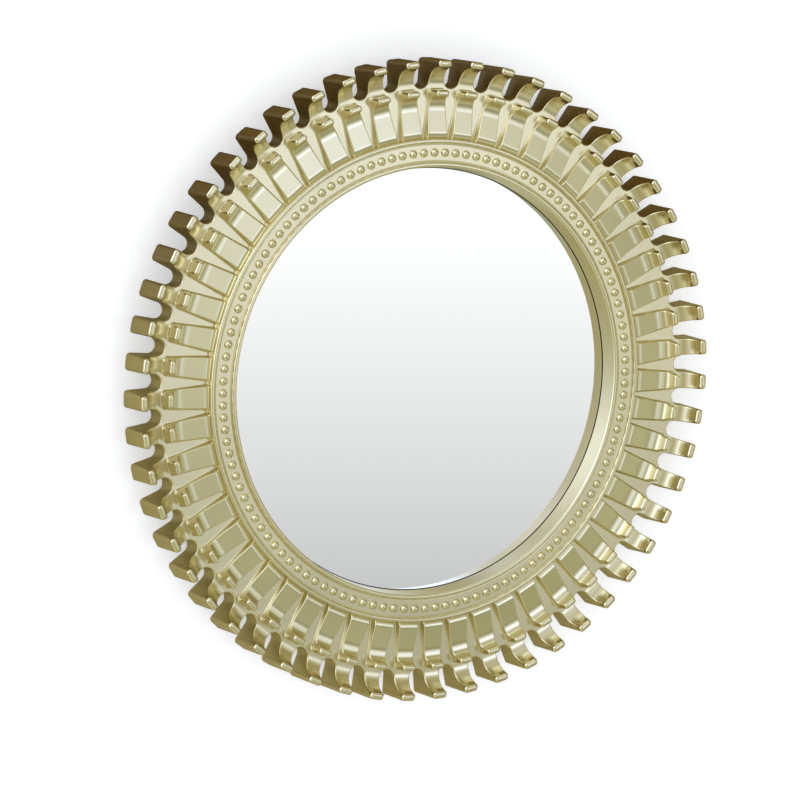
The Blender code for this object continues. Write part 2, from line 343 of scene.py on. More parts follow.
def carved(stations, top, fillet, floor, rows=(5, 6, 4)):
    """A carved form from its spine, over its top and rolled edge, down its wall to the floor.

    Each station round the edge has a centre for the roll, a radius, the top's normal, the
    way out in plan, the wall's draft and a place on the spine. Along a station's line the first rows run from
    the spine to the roll's start, at the top's height for their radius. The next swing a point
    of the roll's circle from the top's normal to the wall's. The last go down the wall, which
    leans out by the draft, and flare out at the foot in a quarter circle.
    """
    inner, roll, wall = rows
    centre, radius, lean = stations["centre"], stations["radius"], stations["lean"]
    out, spine, draft = stations["out"], stations["spine"], stations["draft"]
    radius = radius[:, None]
    away = unit(np.column_stack([out, draft]))
    edge = centre + radius * lean

    part = np.linspace(0.0, 1.0, inner + 1)[None, :-1, None]
    flat = spine[:, None] * (1 - part) + edge[:, None] * part
    height, slope = top(flat[..., 0])
    flat = np.stack([flat[..., 0], flat[..., 1], height], axis=-1)
    flat_lean = np.stack([slope[..., 0], np.zeros_like(height), slope[..., 1]], axis=-1)

    angle = np.arccos(np.clip((lean * away).sum(axis=1), -1, 1))[:, None, None]
    part = np.linspace(0.0, 1.0, roll + 1)[None, :, None]
    swing = (np.sin((1 - part) * angle) * lean[:, None] + np.sin(part * angle) * away[:, None])
    swing = swing / np.sin(angle)
    rolled = centre[:, None] + radius[:, None] * swing

    wall_top = rolled[:, -1]
    height = wall_top[:, 2] - floor
    drop = np.linspace(0.0, 1.0, wall + 1)[None, 1:] * (height[:, None] - fillet)
    flare_turn = np.linspace(0.0, math.pi / 2, 4)[1:] if fillet else np.empty(0)
    flare_drop = height[:, None] - fillet + fillet * np.sin(flare_turn)
    flare_out = fillet * (1 - np.cos(flare_turn))
    drops = np.concatenate([drop, flare_drop], axis=1)
    outs = draft[:, None] * drops + np.concatenate([np.zeros(wall), flare_out])
    sides = np.stack([
        wall_top[:, None, 0] + outs * out[:, None, 0],
        wall_top[:, None, 1] + outs * out[:, None, 1],
        wall_top[:, None, 2] - drops,
    ], axis=-1)
    turn = np.concatenate([np.zeros(wall), flare_turn])[None, :, None]
    side_lean = np.cos(turn) * away[:, None] + np.sin(turn) * np.array([0.0, 0.0, 1.0])
    places = np.concatenate([flat, rolled, sides], axis=1)
    leans = unit(np.concatenate([flat_lean, swing, side_lean], axis=1))
    return places, leans


def both_halves(places, leans):
    """A half form and its reflection across its own middle line."""
    flip = np.array([1.0, -1.0, 1.0])
    return np.stack([places, places * flip]), np.stack([leans, leans * flip])


def top_line(corners, radii, steps=8, spacing=0.0008):
    """A form's top as a line of (radius, height), and the function that reads it at any radius."""
    line, normals = filled_in(*rounded_line(corners, radii, steps), spacing)
    keep = np.concatenate([[True], np.diff(line[:, 0]) > 1e-9])
    line, normals = line[keep], normals[keep]

    def read(radius):
        height = np.interp(radius, line[:, 0], line[:, 1])
        slope = np.stack([np.interp(radius, line[:, 0], n) for n in normals.T], axis=-1)
        return height, unit(slope)

    return line, normals, read


def curl_corner(foot, floor, edge, top):
    """Where the tangents of a hollow curl meet, and its radius.

    The curl leaves the floor level at the foot and passes through the edge. Its radius is
    (run squared + rise squared) / (2 rise) and its turn is twice the angle of the chord.
    """
    run, rise = edge - foot, top - floor
    bend = (run * run + rise * rise) / (2 * rise)
    return (foot + bend * rise / run, floor), bend * 0.985


def end_stations(corner, way_in, way_out, steps):
    """Normals swinging round a corner of the plan, from one straight side's to the next's."""
    start = math.atan2(way_in[1], way_in[0])
    end = math.atan2(way_out[1], way_out[0])
    angles = np.linspace(start, end, steps)
    return np.stack([np.cos(angles), np.sin(angles)], axis=1), np.tile(corner, (steps, 1))


def finger_stations(size):
    """Half a finger's edge, from the middle of its inner end round to the middle of its tip.

    The plan is a wedge: half width = inner half - slope * (radius - inner), drawn in by the
    draft times the height and by the roll's radius.
    """
    tip_edge = size.outer - size.tip_thickness
    slope = (size.inner_width - size.outer_width) / 2 / (size.outer - size.inner)
    end = size.outer - size.tip_edge - size.end_draft * size.tip
    corners = [
        (size.inner - 0.0016, 0.0014), (size.inner - 0.0009, 0.0014),
        (size.inner + 0.0009, size.shoulder), (size.dip_radius, size.dip),
        (size.curl_radius, size.curl_height), (tip_edge, size.tip), (end, size.tip),
    ]
    line, normals, top = top_line(
        corners, [0.0003, size.end_roll, size.sweep, size.curl, size.tip_roll], spacing=0.0012,
    )
    lean = np.stack([normals[:, 0], np.zeros(len(line)), normals[:, 1]], axis=1)
    lean[0] = lean[-1] = (0.0, 0.0, 1.0)
    reach = eased(line[:, 0], tip_edge - 0.0012, tip_edge + 0.0004)
    radius = size.edge + (size.tip_edge - size.edge) * reach
    centre = np.column_stack([line[:, 0], np.zeros(len(line)), line[:, 1]]) - radius[:, None] * lean
    half = size.inner_width / 2 - slope * (centre[:, 0] - size.inner)
    centre[:, 1] = half - size.draft * centre[:, 2] - radius
    side = np.array([slope, 1.0]) / math.hypot(slope, 1.0)
    out = np.tile(side, (len(line), 1))
    spine = np.column_stack([line[:, 0], np.zeros(len(line)), line[:, 1]])

    parts = []
    for index, way, draft, order in (
        (0, -1.0, size.draft, 1), (-1, 1.0, size.end_draft, -1),
    ):
        fan, _ = end_stations(centre[index, :2], (way, 0.0), side, 6)
        middle = np.linspace(0.0, 1.0, 4)[:-1, None]
        place = np.tile(centre[index], (9, 1))
        place[:3, 1] = centre[index, 1] * middle[:, 0]
        ways = np.concatenate([np.tile((way, 0.0), (3, 1)), fan])
        part = {
            "centre": place,
            "radius": np.full(9, radius[index]),
            "lean": np.tile(lean[index], (9, 1)),
            "out": ways,
            "draft": size.draft + (draft - size.draft) * ways[:, 0] ** 2,
            "spine": np.tile(spine[index], (9, 1)),
        }
        parts.append({key: value[::order] for key, value in part.items()})
    along = {
        "centre": centre, "radius": radius, "lean": lean, "out": out,
        "draft": np.full(len(line), size.draft), "spine": spine,
    }
    ordered = (parts[0], {key: value[1:-1] for key, value in along.items()}, parts[1])
    return {key: np.concatenate([part[key] for part in ordered]) for key in along}, top


def tooth_stations(size, count):
    """Half a tooth's edge, from the bottom of the notch beside it round to the middle of its tip.

    The notch ends in an arc about a point on its own middle line, which lies half a pitch from
    the tooth's. The arc's last point is where the tooth's straight side is tangent to it.
    """
    pitch = math.pi / count
    slope = math.tan(pitch)
    reach = (size.notch_root - size.width / 2) / (1 - slope)
    notch = reach * slope - size.width / 2
    middle = reach * np.array([math.cos(pitch), math.sin(pitch)])
    tip_edge = size.outer - size.tip_thickness
    curl, bend = curl_corner(size.foot, 0.0, tip_edge, size.tip - 0.0006)
    end = size.outer - size.tip_edge - size.end_draft * size.tip
    corners = [
        (size.web_join, 0.0), curl, (tip_edge, size.tip), (end, size.tip),
    ]
    line, normals, top = top_line(corners, [bend, size.tip_edge * 1.05], steps=14, spacing=0.0009)

    side = np.array([size.taper, 1.0]) / math.hypot(size.taper, 1.0)
    last = math.atan2(side[1], side[0])
    ways = np.linspace(pitch, last, 15)
    way = np.stack([np.cos(ways), np.sin(ways)], axis=1)
    arc_edge = middle - way * notch
    radius = np.full(len(ways), size.edge)
    arc_centre = arc_edge - way * (size.edge - size.draft * size.edge)
    height, lean_line = top(arc_centre[:, 0])
    lean = np.stack([lean_line[:, 0], np.zeros(len(ways)), lean_line[:, 1]], axis=1)
    centre = np.column_stack([arc_centre, height]) - size.edge * lean * np.array([0, 0, 1.0])
    round_spine = np.clip(ways * 0 + 1 - np.linspace(0, 2, len(ways)), 0, 1) * pitch
    straight = np.clip(np.linspace(-1, 1, len(ways)), 0, 1)
    spine_radius = size.web_join + straight * (arc_centre[-1, 0] - size.web_join)
    spine = np.column_stack([
        spine_radius * np.cos(round_spine), spine_radius * np.sin(round_spine), top(spine_radius)[0],
    ])
    arc = {
        "centre": centre, "radius": radius, "lean": lean, "out": way,
        "draft": np.full(len(ways), size.draft), "spine": spine,
    }

    beyond = line[:, 0] > arc_centre[-1, 0] + 0.0002
    line, normals = line[beyond], normals[beyond]
    lean = np.stack([normals[:, 0], np.zeros(len(line)), normals[:, 1]], axis=1)
    lean[-1] = (0.0, 0.0, 1.0)
    radius = size.edge + (size.tip_edge - size.edge) * eased(line[:, 1], size.tip * 0.6, size.tip)
    centre = np.column_stack([line[:, 0], np.zeros(len(line)), line[:, 1]]) - radius[:, None] * lean
    at_side = arc_edge[-1]
    half = at_side[1] - size.taper * (centre[:, 0] - at_side[0])
    centre[:, 1] = half - size.draft * centre[:, 2] - radius
    spine = np.column_stack([line[:, 0], np.zeros(len(line)), line[:, 1]])
    along = {
        "centre": centre, "radius": radius, "lean": lean, "out": np.tile(side, (len(line), 1)),
        "draft": np.full(len(line), size.draft), "spine": spine,
    }
    fan, _ = end_stations(centre[-1, :2], side, (1.0, 0.0), 7)
    place = np.tile(centre[-1], (10, 1))
    place[7:, 1] = centre[-1, 1] * np.linspace(1.0, 0.0, 4)[1:]
    ways = np.concatenate([fan, np.tile((1.0, 0.0), (3, 1))])
    tip = {
        "centre": place,
        "radius": np.full(10, radius[-1]),
        "lean": np.tile(lean[-1], (10, 1)),
        "out": ways,
        "draft": size.draft + (size.end_draft - size.draft) * ways[:, 0] ** 2,
        "spine": np.tile(spine[-1], (10, 1)),
    }
    ordered = (arc, {key: value[:-1] for key, value in along.items()}, tip)
    return {key: np.concatenate([part[key] for part in ordered]) for key in along}, top


# Finishes

def new_finish(name, **values):
    """A material with its shader's plain values set, and its nodes."""
    made = bpy.data.materials.new(name)
    made.use_nodes = True
    shader = made.node_tree.nodes["Principled BSDF"]
    for socket, value in values.items():
        shader.inputs[socket.replace("_", " ")].default_value = value
    return made, made.node_tree, shader


def node(tree, kind, **values):
    """A node with its properties or input values set by name."""
    made = tree.nodes.new(kind)
    for key, value in values.items():
        if key in made.inputs:
            made.inputs[key].default_value = value
        else:
            setattr(made, key, value)
    return made


def new_group(name, inputs, outputs):
    """A shader node group with named sockets, and its ends."""
    group = bpy.data.node_groups.new(name, "ShaderNodeTree")
    for label, kind, default in inputs:
        socket = group.interface.new_socket(name=label, in_out="INPUT", socket_type=kind)
        socket.default_value = default
    for label, kind in outputs:
        group.interface.new_socket(name=label, in_out="OUTPUT", socket_type=kind)
    return group, group.nodes.new("NodeGroupInput"), group.nodes.new("NodeGroupOutput")


def lacquer_group():
    """Sprayed metallic lacquer: fine flake, slow drift of colour and the mould's faint waviness."""
    group, ends_in, ends_out = new_group(
        "sprayed lacquer",
        [
            ("Colour", "NodeSocketColor", (0.8, 0.73, 0.47, 1.0)),
            ("Flake Colour", "NodeSocketColor", (0.95, 0.88, 0.62, 1.0)),
            ("Flake Size", "NodeSocketFloat", 0.00016),
            ("Flake Amount", "NodeSocketFloat", 0.08),
            ("Roughness", "NodeSocketFloat", 0.3),
            ("Waviness", "NodeSocketFloat", 0.08),
        ],
        [("Colour", "NodeSocketColor"), ("Roughness", "NodeSocketFloat"), ("Normal", "NodeSocketVector")],
    )
    link = group.links.new
    place = node(group, "ShaderNodeTexCoord")
    fine = node(group, "ShaderNodeMath", operation="DIVIDE")
    fine.inputs[0].default_value = 1.0
    link(ends_in.outputs["Flake Size"], fine.inputs[1])
    flakes = node(group, "ShaderNodeTexVoronoi", feature="F1")
    link(place.outputs["Object"], flakes.inputs["Vector"])
    link(fine.outputs[0], flakes.inputs["Scale"])
    pick = node(group, "ShaderNodeSeparateColor")
    link(flakes.outputs["Color"], pick.inputs["Color"])
    bright = node(group, "ShaderNodeMapRange")
    bright.inputs["From Min"].default_value = 0.55
    link(pick.outputs["Red"], bright.inputs["Value"])
    amount = node(group, "ShaderNodeMath", operation="MULTIPLY")
    link(bright.outputs["Result"], amount.inputs[0])
    link(ends_in.outputs["Flake Amount"], amount.inputs[1])
    drift = node(group, "ShaderNodeTexNoise", Scale=26.0, Detail=3.0, Roughness=0.5)
    link(place.outputs["Object"], drift.inputs["Vector"])
    drifted = node(group, "ShaderNodeMapRange")
    drifted.inputs["From Min"].default_value = 0.3
    drifted.inputs["From Max"].default_value = 0.7
    drifted.inputs["To Min"].default_value = 0.94
    drifted.inputs["To Max"].default_value = 1.04
    link(drift.outputs["Fac"], drifted.inputs["Value"])
    shade = node(group, "ShaderNodeVectorMath", operation="SCALE")
    link(ends_in.outputs["Colour"], shade.inputs[0])
    link(drifted.outputs["Result"], shade.inputs["Scale"])
    mix = node(group, "ShaderNodeMix", data_type="RGBA")
    link(amount.outputs[0], mix.inputs["Factor"])
    link(shade.outputs["Vector"], mix.inputs[6])
    link(ends_in.outputs["Flake Colour"], mix.inputs[7])
    link(mix.outputs[2], ends_out.inputs["Colour"])
    rough = node(group, "ShaderNodeMath", operation="MULTIPLY_ADD")
    rough.inputs[1].default_value = 0.06
    link(pick.outputs["Green"], rough.inputs[0])
    link(ends_in.outputs["Roughness"], rough.inputs[2])
    link(rough.outputs[0], ends_out.inputs["Roughness"])
    wave = node(group, "ShaderNodeTexNoise", Scale=420.0, Detail=2.0, Roughness=0.5)
    link(place.outputs["Object"], wave.inputs["Vector"])
    bump = node(group, "ShaderNodeBump", Distance=0.00004)
    link(ends_in.outputs["Waviness"], bump.inputs["Strength"])
    link(wave.outputs["Fac"], bump.inputs["Height"])
    link(bump.outputs["Normal"], ends_out.inputs["Normal"])
    return group


def gold_finish(look):
    """Satin champagne-gold lacquer."""
    made, tree, shader = new_finish("gold_lacquer", Metallic=1.0)
    spray = tree.nodes.new("ShaderNodeGroup")
    spray.node_tree = bpy.data.node_groups.get("sprayed lacquer") or lacquer_group()
    spray.inputs["Colour"].default_value = (*look.gold, 1.0)
    spray.inputs["Flake Colour"].default_value = (*look.flake, 1.0)
    spray.inputs["Roughness"].default_value = look.roughness
    tree.links.new(spray.outputs["Colour"], shader.inputs["Base Color"])
    tree.links.new(spray.outputs["Roughness"], shader.inputs["Roughness"])
    tree.links.new(spray.outputs["Normal"], shader.inputs["Normal"])
    return made


def finish_named(name, maker):
    """The material of that name, made once."""
    return bpy.data.materials.get(name) or maker(bpy.context.scene.mirror_finish)


def silver_finish(look):
    """Silvered glass: a clean mirror with a dark line round its edge, painted shade standing in for the
    shadowed gap under the frame's lip.
    """
    made, tree, shader = new_finish("silvering", Metallic=1.0, Roughness=0.015)
    place = node(tree, "ShaderNodeTexCoord")
    flat = node(tree, "ShaderNodeVectorMath", operation="MULTIPLY")
    flat.inputs[1].default_value = (1.0, 0.0, 1.0)
    tree.links.new(place.outputs["Object"], flat.inputs[0])
    reach = node(tree, "ShaderNodeVectorMath", operation="LENGTH")
    tree.links.new(flat.outputs["Vector"], reach.inputs[0])
    # Painted shade: the glass turns near black beyond 82.2 mm, in place of the shadowed gap under the lip
    rim = node(tree, "ShaderNodeMapRange")
    rim.inputs["From Min"].default_value = 0.0822
    rim.inputs["From Max"].default_value = 0.0823
    tree.links.new(reach.outputs["Value"], rim.inputs["Value"])
    mix = node(tree, "ShaderNodeMix", data_type="RGBA")
    mix.inputs[6].default_value = (*look.silver, 1.0)
    mix.inputs[7].default_value = (0.004, 0.004, 0.004, 1.0)
    tree.links.new(rim.outputs["Result"], mix.inputs["Factor"])
    tree.links.new(mix.outputs[2], shader.inputs["Base Color"])
    return made


def panel_finish(look):
    """Matt black plastic with a fine spark-eroded grain."""
    made, tree, shader = new_finish("grained_plastic", Roughness=0.55)
    place = node(tree, "ShaderNodeTexCoord")
    grain = node(tree, "ShaderNodeTexNoise", Scale=1800.0, Detail=2.0, Roughness=0.6)
    tree.links.new(place.outputs["Object"], grain.inputs["Vector"])
    tone = node(tree, "ShaderNodeMapRange")
    tone.inputs["To Min"].default_value = 0.5
    tone.inputs["To Max"].default_value = 0.66
    tree.links.new(grain.outputs["Fac"], tone.inputs["Value"])
    tree.links.new(tone.outputs["Result"], shader.inputs["Roughness"])
    shade = node(tree, "ShaderNodeMix", data_type="RGBA")
    shade.inputs[6].default_value = (*look.panel, 1.0)
    shade.inputs[7].default_value = tuple(value * 1.7 for value in look.panel) + (1.0,)
    tree.links.new(grain.outputs["Fac"], shade.inputs["Factor"])
    tree.links.new(shade.outputs[2], shader.inputs["Base Color"])
    bump = node(tree, "ShaderNodeBump", Strength=0.35, Distance=0.00006)
    tree.links.new(grain.outputs["Fac"], bump.inputs["Height"])
    tree.links.new(bump.outputs["Normal"], shader.inputs["Normal"])
    return made


# Pieces

def placed_piece(made, node_name):
    """A finished piece rides on the one body and stands for its solid."""
    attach(made, "root")
    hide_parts(node_name)
    return made


class MIRROR_OT_ring(bpy.types.Operator):
    """Turns the plain rings: sight wall, ridges, bead band, web, back and rebate"""

    bl_idname = "mirror.ring"
    bl_label = "Ring"

    def execute(self, context):
        size = context.scene.mirror_ring
        teeth = context.scene.mirror_teeth
        crown = size.band_front + size.ridge_rise
        half = size.ridge_width / 2
        inner, outer = size.inner_ridge_radius, size.outer_ridge_radius
        groove = size.band_front - 0.0002
        corners = [
            (size.rebate_radius, size.back),
            (size.rebate_radius, size.sight_front),
            (size.sight_radius, size.sight_front),
            (inner - half - 0.0001, groove),
            (inner - half, crown),
            (inner + half * 0.8, crown),
            (inner + half, groove),
            (inner + half + 0.0006, size.band_front),
            (outer - half - 0.0006, size.band_front),
            (outer - half, groove),
            (outer - half * 0.8, crown),
            (outer + half * 0.8, crown),
            (outer + half + 0.0002, size.web_front),
            (teeth.web_join + 0.0004, size.web_front - 0.00001),
            (teeth.web_join + 0.0004, size.back + 0.00001),
            (size.rebate_radius, size.back),
        ]
        radii = [
            0.0001, 0.00012, 0.0004, 0.0008, 0.0008, 0.00012, 0.0002, 0.0002, 0.00012, 0.0007,
            0.0007, 0.00025, 0.00005, 0.00005,
        ]
        line, normals = rounded_line(corners, radii, 6)
        line, normals = filled_in(line, normals, 0.004)
        made = revolved("frame_ring", line, normals, 440, finish_named("gold_lacquer", gold_finish))
        placed_piece(made, "frame")
        return {"FINISHED"}


class MIRROR_OT_beads(bpy.types.Operator):
    """Sets the row of beads on the band"""

    bl_idname = "mirror.beads"
    bl_label = "Beads"

    def execute(self, context):
        size = context.scene.mirror_beads
        band = context.scene.mirror_ring.band_front
        # A ball cut off at the band: radius sin(polar) round its own axis, radius cos(polar) up
        polar = np.linspace(0.0, math.acos((size.sink - 0.00005) / size.radius), 6)[None, :]
        round_it = np.linspace(0.0, math.tau, 16, endpoint=False)[:, None]
        lean = np.stack([
            np.sin(polar) * np.cos(round_it),
            np.sin(polar) * np.sin(round_it),
            np.cos(polar) * np.ones_like(round_it),
        ], axis=-1)
        places = size.radius * lean + np.array([size.ring_radius, 0.0, band - size.sink])
        angles = size.turn + math.tau * np.arange(size.count) / size.count
        triangles = repeated(grid_triangles(16, 6, round_rows=True), 96, size.count)
        made = surface_object(
            "frame_beads", about_axis(places, angles), about_axis(lean, angles), triangles,
            finish_named("gold_lacquer", gold_finish),
        )
        placed_piece(made, "frame")
        return {"FINISHED"}


class MIRROR_OT_fingers(bpy.types.Operator):
    """Carves the inner tier of curled fingers"""

    bl_idname = "mirror.fingers"
    bl_label = "Fingers"

    def execute(self, context):
        size = context.scene.mirror_fingers
        web = context.scene.mirror_ring.web_front
        stations, top = finger_stations(size)
        places, leans = carved(stations, top, size.foot_fillet, -0.00002, (3, 5, 2))
        places[..., 2] += web
        count, rows = places.shape[:2]
        places, leans = both_halves(places, leans)
        angles = size.turn + math.tau * np.arange(size.count) / size.count
        triangles = repeated(grid_triangles(count, rows), count * rows, size.count * 2)
        made = surface_object(
            "frame_fingers", about_axis(places, angles), about_axis(leans, angles), triangles,
            finish_named("gold_lacquer", gold_finish),
        )
        placed_piece(made, "frame")
        return {"FINISHED"}


class MIRROR_OT_teeth(bpy.types.Operator):
    """Carves the outer tier of teeth with the notches between them"""

    bl_idname = "mirror.teeth"
    bl_label = "Teeth"

    def execute(self, context):
        size = context.scene.mirror_teeth
        fingers = context.scene.mirror_fingers
        ring = context.scene.mirror_ring
        stations, top = tooth_stations(size, fingers.count)
        floor = ring.back - ring.web_front
        places, leans = carved(stations, top, 0.0, floor, (5, 5, 3))
        # The back: from the foot of the wall flat across to the spine
        part = np.linspace(0.0, 1.0, 4)[None, :, None]
        spine = stations["spine"] * np.array([1.0, 1.0, 0.0]) + np.array([0.0, 0.0, floor])
        back = places[:, -1:] * (1 - part) + spine[:, None] * part
        back_lean = np.broadcast_to(np.array([0.0, 0.0, -1.0]), back.shape)
        places = np.concatenate([places, back[:, 1:]], axis=1)
        leans = np.concatenate([leans, back_lean[:, 1:]], axis=1)
        places[..., 2] += ring.web_front
        count, rows = places.shape[:2]
        places, leans = both_halves(places, leans)
        angles = fingers.turn + math.tau * np.arange(fingers.count) / fingers.count
        triangles = repeated(grid_triangles(count, rows), count * rows, fingers.count * 2)
        made = surface_object(
            "frame_teeth", about_axis(places, angles), about_axis(leans, angles), triangles,
            finish_named("gold_lacquer", gold_finish),
        )
        placed_piece(made, "frame")
        return {"FINISHED"}


class MIRROR_OT_glass(bpy.types.Operator):
    """Lays the silvered glass behind the lip"""

    bl_idname = "mirror.glass"
    bl_label = "Glass"

    def execute(self, context):
        radius, front, back = glass_high.x, -glass_low.y, -glass_high.y
        corners = [(0.0, back), (radius, back), (radius, front), (0.0, front)]
        line, normals = rounded_line(corners, [0.0002, 0.0002], 3)
        normals = -normals
        made = revolved("silvered_disc", line, normals, 240, finish_named("silvering", silver_finish))
        placed_piece(made, "mirror_glass")
        return {"FINISHED"}


class MIRROR_OT_panel(bpy.types.Operator):
    """Moulds the back panel with its keyhole"""

    bl_idname = "mirror.panel"
    bl_label = "Back panel"

    def execute(self, context):
        size = context.scene.mirror_panel
        steps = 192
        angles = np.linspace(0.0, math.tau, steps, endpoint=False)
        way = np.stack([np.cos(angles), np.sin(angles)], axis=1)

        def slot_outline(half, low, high):
            """An upright slot with round ends: a circle whose upper half is lifted to the top."""
            lift = np.where(way[:, 1:] >= 0, high, low)
            return half * way + np.concatenate([np.zeros((steps, 1)), lift], axis=1)

        def keyhole_outline():
            """The round hole and the slot over it: the farther of the two along each ray from the hole."""
            hole = np.full(steps, size.hole_radius)
            top = size.slot_rise
            sideways = np.abs(way[:, 0]) + 1e-9
            side = size.slot_half / sideways
            under = np.clip(size.slot_half ** 2 - (top * way[:, 0]) ** 2, 0, None)
            cap = top * way[:, 1] + np.sqrt(under)
            inside = side * way[:, 1] <= top
            slot = np.where(inside, side, cap)
            reach = np.where(way[:, 1] > 0, np.maximum(hole, slot), hole)
            return reach[:, None] * way + np.array([0.0, size.hole_height])

        key = keyhole_outline()
        pocket = slot_outline(size.pocket_half, size.hole_height, size.hole_height + size.slot_rise)
        spin = math.atan2(1, 0)
        flat_line, flat_normals = rounded_line(
            [
                (size.flange_radius - 0.002, size.plate * 0.0),
                (size.flange_radius, 0.0),
                (size.flange_radius, size.flange),
                (size.spigot_radius, size.flange),
                (size.spigot_radius, size.spigot_front),
                (size.spigot_radius - 0.002, size.spigot_front),
            ],
            [size.edge, 0.0003, 0.0002, 0.0003],
            4,
        )
        flat_normals = -flat_normals
        rows = []
        leans = []

        def add(outline, front, normal):
            rows.append(np.column_stack([outline, np.full(steps, front)]))
            leans.append(np.broadcast_to(normal, (steps, 3)) if np.ndim(normal) == 1 else normal)

        rear = np.array([0.0, 0.0, -1.0])
        face = np.array([0.0, 0.0, 1.0])
        inward = np.column_stack([-way, np.zeros(steps)])
        rim = way * (size.flange_radius - 0.002)
        add(key, size.plate, inward)
        add(key, 0.0002, inward)
        for part in (0.0, 0.25, 0.5, 0.75):
            add((key * (1 - part) + rim * part) * (1.0 if part else 1.0), 0.0, rear)
        for (radius, front), (out, ahead) in zip(flat_line, flat_normals):
            add(way * radius, front, np.column_stack([way * out, np.full(steps, ahead)]))
        front_rim = way * (size.spigot_radius - 0.002)
        for part in (0.4, 0.8, 1.0):
            add(front_rim * (1 - part) + pocket * part, size.spigot_front, face)
        add(pocket, size.spigot_front - 0.0002, inward)
        add(pocket, size.plate + 0.0001, inward)
        add(pocket, size.plate, face)
        add(key + way * 0.0002, size.plate, face)
        grid = np.stack(rows)
        lean = np.stack(leans)
        # Columns hold x, z and front here
        points = np.stack([grid[..., 0], -grid[..., 2], grid[..., 1]], axis=-1)
        normals = unit(np.stack([lean[..., 0], -lean[..., 2], lean[..., 1]], axis=-1))
        triangles = grid_triangles(len(rows), steps, round_rows=True, round_columns=True)
        made = surface_object(
            "keyhole_panel", points, normals, triangles, finish_named("grained_plastic", panel_finish),
        )
        placed_piece(made, "back_panel")
        return {"FINISHED"}


# Stage

# Each soft patch of the studio: azimuth and elevation in degrees, spread in degrees, and its light
STUDIO_ROOM = (0.424, 0.388, 0.212)
STUDIO_PATCHES = (
    (-110, 25, 23, (3.92, 4.36, 4.84)),
    (-69, 28, 22, (1.79, 1.99, 2.50)),
    (25, -4, 13, (1.70, 1.80, 1.98)),
    (7, 41, 8, (0.80, 0.84, 0.99)),
    (28, -13, 14, (0.15, 0.18, 0.04)),
    (65, 11, 9, (0.22, 0.19, 0.11)),
    (65, -19, 7, (1.16, 1.27, 1.04)),
    (186, 28, 22, (0.04, 0.02, 0.01)),
    (148, 6, 24, (0.03, 0.02, 0.01)),
    (208, -5, 16, (0.30, 0.24, 0.11)),
    (88, -30, 11, (0.20, 0.22, 0.23)),
    (-99, -57, 24, (0.95, 1.00, 0.82)),
    (23, -40, 9, (0.69, 0.68, 0.57)),
    (200, -28, 23, (0.26, 0.21, 0.07)),
    (68, 87, 16, (1.15, 1.29, 1.19)),
    (1, 21, 9, (0.88, 0.92, 1.05)),
    (24, 3, 5, (1.89, 2.28, 3.59)),
    (-55, 37, 5, (3.0, 3.2, 3.7)),
)


def soft_patch_group():
    """A soft patch of light: it covers what lies below by e to the (sharpness times (cosine - 1))."""
    group, ends_in, ends_out = new_group(
        "soft patch",
        [
            ("Below", "NodeSocketColor", (0.5, 0.5, 0.5, 1.0)),
            ("Way", "NodeSocketVector", (0.0, 0.0, 1.0)),
            ("Towards", "NodeSocketVector", (0.0, -1.0, 0.0)),
            ("Sharpness", "NodeSocketFloat", 10.0),
            ("Colour", "NodeSocketColor", (1.0, 1.0, 1.0, 1.0)),
        ],
        [("Colour", "NodeSocketColor")],
    )
    link = group.links.new
    cosine = node(group, "ShaderNodeVectorMath", operation="DOT_PRODUCT")
    link(ends_in.outputs["Way"], cosine.inputs[0])
    link(ends_in.outputs["Towards"], cosine.inputs[1])
    off = node(group, "ShaderNodeMath", operation="SUBTRACT")
    off.inputs[1].default_value = 1.0
    link(cosine.outputs["Value"], off.inputs[0])
    fall = node(group, "ShaderNodeMath", operation="MULTIPLY")
    link(off.outputs[0], fall.inputs[0])
    link(ends_in.outputs["Sharpness"], fall.inputs[1])
    cover = node(group, "ShaderNodeMath", operation="EXPONENT")
    link(fall.outputs[0], cover.inputs[0])
    mix = node(group, "ShaderNodeMix", data_type="RGBA")
    link(cover.outputs[0], mix.inputs["Factor"])
    link(ends_in.outputs["Below"], mix.inputs[6])
    link(ends_in.outputs["Colour"], mix.inputs[7])
    link(mix.outputs[2], ends_out.inputs["Colour"])
    return group


def sheet(name, corners, finish):
    """A flat four-cornered stage sheet."""
    mesh = bpy.data.meshes.new(name)
    mesh.from_pydata([Vector(corner) for corner in corners], [], [(0, 1, 2, 3)])
    mesh.materials.append(finish)
    made = bpy.data.objects.new(name, mesh)
    bpy.context.scene.collection.objects.link(made)
    return made


